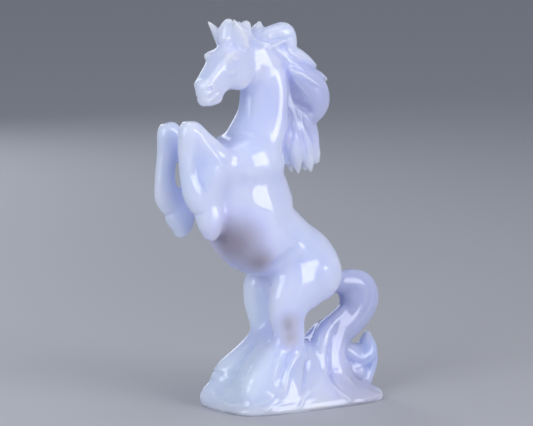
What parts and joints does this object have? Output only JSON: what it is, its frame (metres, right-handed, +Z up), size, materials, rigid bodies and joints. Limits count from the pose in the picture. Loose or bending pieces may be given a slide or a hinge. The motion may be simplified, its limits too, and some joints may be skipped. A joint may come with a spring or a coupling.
{
  "type": "stone horse carving",
  "caption": "Small polished stone statue of a rearing horse with flowing mane and curling tail, carved in one piece with its low base.",
  "frame": {"origin": "middle of the base's flat underside, where the base's length and width are halved", "axes": "+Z up; the horse faces -X; its left side, which the picture shows, is toward -Y"},
  "size_m": [0.093, 0.0353, 0.1497],
  "materials": {
    "pale_stone": "pale blue-lavender chalcedony, solid and softly translucent, polished to a high gloss, with a faint grey-brown clouding"
  },
  "bodies": {
    "root": {"horse_carving": "pale_stone"}
  },
  "joints": []
}
